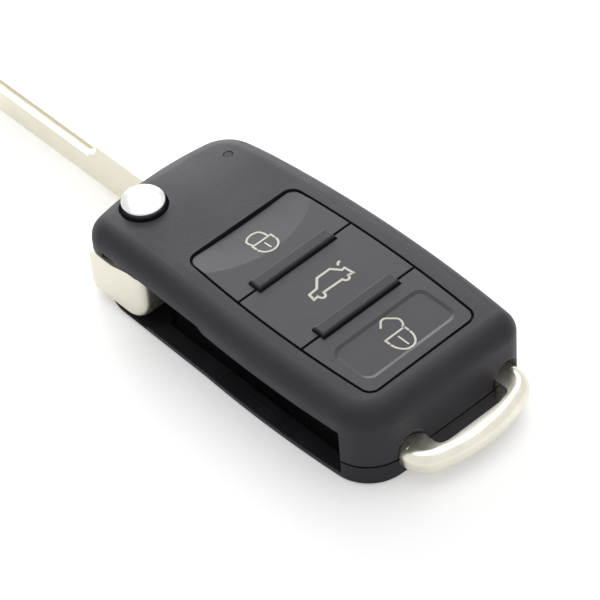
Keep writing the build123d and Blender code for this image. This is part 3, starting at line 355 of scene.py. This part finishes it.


# %% [markdown]
# ## Dark plastics
#
# The case, its covers and the buttons are charcoal plastic. Their moulds were spark-eroded, so the
# surface is full of fine pits that spread every highlight. An even dark grey would look like paint,
# so each plastic has that grain as a bump. The covers are a little darker, the buttons have a lower
# grain and more sheen, and the frame behind the slot is black plastic whose colour and gloss are
# turned down below such plastic's, as painted shade for the shadow inside the slot.

# %% Case, covers, buttons and frame
MATERIALS = {
    "case_plastic": finish(
        "charcoal shell plastic", "grain", (0.0215, 0.0195, 0.0265), (0.0275, 0.0255, 0.0325),
        (0.44, 0.54), 0.034, Specular_IOR_Level=0.28),
    "cover_plastic": finish(
        "charcoal cover plastic", "grain", (0.018, 0.016, 0.019), (0.024, 0.022, 0.026),
        (0.44, 0.54), 0.026, Specular_IOR_Level=0.20),
    "button_plastic": finish(
        "satin button plastic", "grain", (0.021, 0.020, 0.027), (0.027, 0.026, 0.033),
        (0.38, 0.46), 0.012, Specular_IOR_Level=0.36),
    # painted shade: the frame's black plastic is given almost no colour and little gloss, so that it
    # stands in for the shadow inside the slot
    "gloss_plastic": finish(
        "black frame with painted slot shade", "grain", (0.002, 0.002, 0.002), (0.004, 0.004, 0.004),
        (0.14, 0.24), 0.002, effect_values={"Grains per metre": 900.0}, Specular_IOR_Level=0.12),
}
print("plastics", list(MATERIALS))

# %% [markdown]
# ## Bright metals
#
# The loop and the hub are plated castings, one bright and one satin, the blade is milled and the
# dome is polished. Real metal is never a perfect mirror, so the castings and the dome have low
# waves and smudges, and the blade has drag lines along its length. The plating is slightly warm.

# %% Loop, hub, blade and dome
MATERIALS.update({
    "plated_loop": finish(
        "bright plating", "cast", (0.78, 0.75, 0.64), (0.86, 0.83, 0.73),
        (0.20, 0.28), 0.006, metal=0.88),
    "plated_hub": finish(
        "satin plating", "cast", (0.73, 0.70, 0.61), (0.77, 0.74, 0.65),
        (0.34, 0.42), 0.01, metal=0.92),
    "blade_steel": finish(
        "milled blade metal", "brush", (0.76, 0.73, 0.61), (0.79, 0.76, 0.65),
        (0.42, 0.48), 0.003, metal=0.94),
    "chrome_button": finish(
        "polished chrome", "cast", (0.74, 0.74, 0.72), (0.80, 0.80, 0.78),
        (0.20, 0.24), 0.002, metal=1.0),
})
print("finishes so far", len(MATERIALS))

# %% [markdown]
# ## What is inside
#
# None of these pieces shows while the case is shut, apart from the end of the light guide across
# the head from the dome. The model can be taken apart, though, so each has the plain finish of such a
# piece: bright steel, rubber, board lacquer, black packages, enamelled copper, plated contacts.

# %% Inner pieces and the light guide
MATERIALS.update({
    "small_steel": finish(
        "plain bright steel", "brush", (0.50, 0.50, 0.50), (0.62, 0.62, 0.62),
        (0.25, 0.40), 0.004, metal=1.0),
    "mat_rubber": finish(
        "dark button rubber", "grain", (0.030, 0.030, 0.031), (0.045, 0.045, 0.046),
        (0.60, 0.75), 0.008),
    "board": finish(
        "green board lacquer", "grain", (0.010, 0.055, 0.020), (0.014, 0.075, 0.028),
        (0.18, 0.30), 0.003, effect_values={"Grains per metre": 1500.0}),
    "chip_plastic": finish(
        "matte black package", "grain", (0.010, 0.010, 0.010), (0.016, 0.016, 0.016),
        (0.50, 0.62), 0.006),
    "coil": finish(
        "enamelled copper", "brush", (0.22, 0.07, 0.03), (0.32, 0.11, 0.05),
        (0.30, 0.42), 0.01, metal=0.6),
    "cell_steel": finish(
        "cell can", "brush", (0.60, 0.60, 0.58), (0.72, 0.72, 0.70),
        (0.18, 0.30), 0.003, metal=1.0),
    "contact_metal": finish(
        "plated contact", "brush", (0.68, 0.60, 0.42), (0.78, 0.70, 0.52),
        (0.20, 0.32), 0.003, metal=1.0),
    "lamp_body": finish(
        "lamp body", "grain", (0.55, 0.52, 0.40), (0.62, 0.60, 0.50),
        (0.20, 0.30), 0.002),
    "lens": finish(
        "smoked light guide", "grain", (0.010, 0.009, 0.010), (0.014, 0.012, 0.014),
        (0.30, 0.38), 0.001, effect_values={"Grains per metre": 900.0}, Specular_IOR_Level=0.26),
})

for part in frame["record"]["subparts"]:
    mesh = nodes[part["node"]].data
    mesh.materials.clear()
    mesh.materials.append(MATERIALS[part["material_slot"]])
print("finishes", len(MATERIALS))

# %% [markdown]
# ## Printed symbols
#
# The symbols on real buttons are pad-printed: a film of pale ink a few hundredths of a millimetre
# thick that follows the button's surface. Here each stroke is a ribbon carried along a path, laid
# on the button's own surface formula and sunk a little so that no gap shows from the side.

# %% Strokes that lie on a surface
INK_RISE, INK_SINK = 0.03, 0.12
MITRE_LIMIT = 0.45


def ribbon(path, width, surface, closed=False):
    """Vertices and faces of a stroke of even width along path, in millimetres.

    At each point the stroke reaches half the width to both sides along the mitre: the mean of the
    normals of the two runs that meet there, made longer by 1 / cos of half the turn, with the cosine
    kept above MITRE_LIMIT. Four rows of points (left and right, top and bottom) follow the path,
    z = surface(x, y) + rise or - sink.
    """
    points = np.array(path, float)
    before = np.roll(points, 1, axis=0) if closed else np.vstack([points[:1], points[:-1]])
    after = np.roll(points, -1, axis=0) if closed else np.vstack([points[1:], points[-1:]])
    run_in, run_out = points - before, after - points
    if not closed:
        run_in[0], run_out[-1] = run_out[0], run_in[-1]
    run_in /= np.linalg.norm(run_in, axis=1, keepdims=True)
    run_out /= np.linalg.norm(run_out, axis=1, keepdims=True)
    across_in = np.column_stack([-run_in[:, 1], run_in[:, 0]])
    across_out = np.column_stack([-run_out[:, 1], run_out[:, 0]])
    mitre = across_in + across_out
    mitre /= np.linalg.norm(mitre, axis=1, keepdims=True)
    stretch = np.clip((mitre * across_in).sum(axis=1), MITRE_LIMIT, 1.0)[:, None]
    left_edge = points + mitre * width / 2 / stretch
    right_edge = points - mitre * width / 2 / stretch
    section = ((left_edge, INK_RISE), (right_edge, INK_RISE),
               (right_edge, -INK_SINK), (left_edge, -INK_SINK))
    rows = [np.column_stack([edge, surface(edge[:, 0], edge[:, 1]) + lift]) for edge, lift in section]
    vertices = np.stack(rows, axis=1).reshape(-1, 3)
    count, around = len(points), len(rows)
    steps = np.arange(count if closed else count - 1)
    following = (steps + 1) % count
    faces = []
    for corner in range(around):
        other = (corner + 1) % around
        faces.append(np.column_stack([around * steps + corner, around * steps + other,
                                      around * following + other, around * following + corner]))
    faces = np.vstack(faces).tolist()
    if not closed:
        ends = np.arange(around)
        faces += [ends[::-1].tolist(), (around * (count - 1) + ends).tolist()]
    return vertices, faces


def densify(path, step=0.12, closed=False):
    """The same path with points at most step apart."""
    points = np.array(path, float)
    ends = np.roll(points, -1, axis=0) if closed else points[1:]
    starts = points if closed else points[:-1]
    runs = []
    for start, stop in zip(starts, ends):
        count = max(1, int(np.ceil(np.linalg.norm(stop - start) / step)))
        runs.append(start + (stop - start) * np.arange(count)[:, None] / count)
    if not closed:
        runs.append(points[-1:])
    return np.vstack(runs)


def arc(centre, radii, start, stop, count=24):
    """Points on an ellipse: centre + (rx cos t, ry sin t), t from start to stop degrees."""
    angle = np.radians(np.linspace(start, stop, count))
    return np.column_stack([centre[0] + radii[0] * np.cos(angle), centre[1] + radii[1] * np.sin(angle)])


def symbol(name, body, strokes, surface, material):
    """One mesh from several strokes, each (path, width, closed), riding on a button's body."""
    vertices, faces = [], []
    for path, width, closed in strokes:
        points, ring = ribbon(path, width, surface, closed)
        base = sum(len(block) for block in vertices)
        vertices.append(points)
        faces += [[base + index for index in face] for face in ring]
    mesh = bpy.data.meshes.new(name)
    mesh.from_pydata((np.vstack(vertices) * MM).tolist(), [], faces)
    mesh.materials.append(material)
    mesh.validate()
    thing = bpy.data.objects.new(name, mesh)
    bpy.context.scene.collection.objects.link(thing)
    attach(thing, body)
    print(name, "faces", len(faces))


ink = finish("pale pad-printed ink", "grain", (0.60, 0.59, 0.50), (0.68, 0.67, 0.58),
             (0.45, 0.6), 0.003)

# %% [markdown]
# The lock button has a shallow spherical scoop, so its surface is the lower of the flat top and a
# ball whose lowest point lies under the scoop's middle. The unlock button has a dish with sloping
# sides. The trunk button is flat. All lengths here are in millimetres.

# %% The tops of the three buttons
SCOOP_X, SCOOP_RADIUS, SCOOP_DEPTH = -33.0, 19.7, 0.9
BALL = (SCOOP_RADIUS**2 + SCOOP_DEPTH**2) / (2 * SCOOP_DEPTH)
DISH_X, DISH_LENGTH, DISH_WIDTH, DISH_DEPTH = 15.2, 9.2, 20.6, 0.2
DISH_TILT = 73.0
DISH_SLOPE = DISH_DEPTH * np.tan(np.radians(DISH_TILT))


def scooped(x, y):
    """Height of the lock button: the ball's underside inside the scoop, and flat outside it."""
    away = (x - SCOOP_X) ** 2 + y**2
    ball = BUTTON_TOP + BALL - SCOOP_DEPTH - np.sqrt(BALL**2 - away)
    return np.minimum(BUTTON_TOP, ball)


def dished(x, y):
    """Height of the unlock button: down a straight slope from each side of the dish to its floor."""
    inside = np.minimum(DISH_LENGTH / 2 - np.abs(x - DISH_X), DISH_WIDTH / 2 - np.abs(y))
    return BUTTON_TOP - DISH_DEPTH * np.clip(inside / DISH_SLOPE, 0, 1)


def flat(x, y):
    """Height of the trunk button: the same everywhere."""
    return np.full_like(x, BUTTON_TOP)


print("scoop's ball", round(BALL, 1), "mm, dish's slope", round(DISH_SLOPE, 2), "mm wide")

# %% [markdown]
# The padlocks share one drawing: a straight-sided body that ends in half an ellipse, a short line
# for the key's slot, and a shackle that is either shut or swung out. The car is seen from the side,
# with half-round cuts for its wheels and a stroke for its lifted trunk lid.

# %% The two padlocks
BODY_STRAIGHT, SLOT_INSET = 1.2, 0.75
OUTLINE_WIDTH, SLOT_WIDTH = 0.36, 0.3


def padlock(base_x, middle_y, half, depth, shackle):
    """Strokes of a padlock that lies along X: a D-shaped body, a key slot and a given shackle."""
    bend_x, low_y, high_y = base_x + BODY_STRAIGHT, middle_y - half, middle_y + half
    body = np.vstack([[base_x, low_y], [bend_x, low_y],
                      arc((bend_x, middle_y), (depth - BODY_STRAIGHT, half), -90, 90),
                      [bend_x, high_y], [base_x, high_y]])
    slot = [(base_x + SLOT_INSET, middle_y), (base_x + depth - SLOT_INSET, middle_y)]
    return [(densify(body, closed=True), OUTLINE_WIDTH, True), (densify(slot), SLOT_WIDTH, False),
            (densify(shackle), OUTLINE_WIDTH, False)]


closed_shackle = [(-16.4, -2.0), (-17.5, -2.3), (-18.1, -2.23), (-18.66, -1.51), (-18.85, -0.7),
                  (-18.8, -0.07), (-18.6, 0.6), (-18.17, 0.99), (-17.6, 1.2), (-16.4, 1.3)]
symbol("lock_symbol", "lock", padlock(-16.4, -0.25, 2.05, 3.2, closed_shackle), scooped, ink)

open_shackle = [(15.22, 2.2), (14.95, 2.1), (14.5, 2.6), (13.97, 2.84), (13.4, 2.9), (12.98, 2.78),
                (11.62, 1.5), (11.4, 1.1), (11.48, 0.47), (12.67, -0.69)]
symbol("unlock_symbol", "unlock", padlock(15.15, 0.1, 2.15, 4.0, open_shackle), dished, ink)

# %% The car
CAR_WIDTH = 0.44
roof_and_tail = [(-1.3, -1.75), (-3.05, -0.05), (-3.05, 2.85), (-1.4, 4.1), (-1.5, 4.75),
                 (0.4, 4.95), (0.2, 3.95)]
rear_wheel = arc((0.2, 3.3), (0.75, 0.65), 90, -90, count=12)
sill = [(0.12, -1.5)]
front_wheel = arc((0.12, -2.2), (0.95, 0.65), 90, -90, count=12)
nose = [(0.25, -3.8), (-1.15, -3.55)]
car_outline = np.vstack([roof_and_tail, rear_wheel, sill, front_wheel, nose])
trunk_lid = [(-2.65, 4.35), (-3.1, 4.8), (-3.2, 5.3)]
car = [(densify(car_outline, step=0.2, closed=True), CAR_WIDTH, True),
       (densify(trunk_lid), CAR_WIDTH, False)]
symbol("trunk_symbol", "trunk", car, flat, ink)
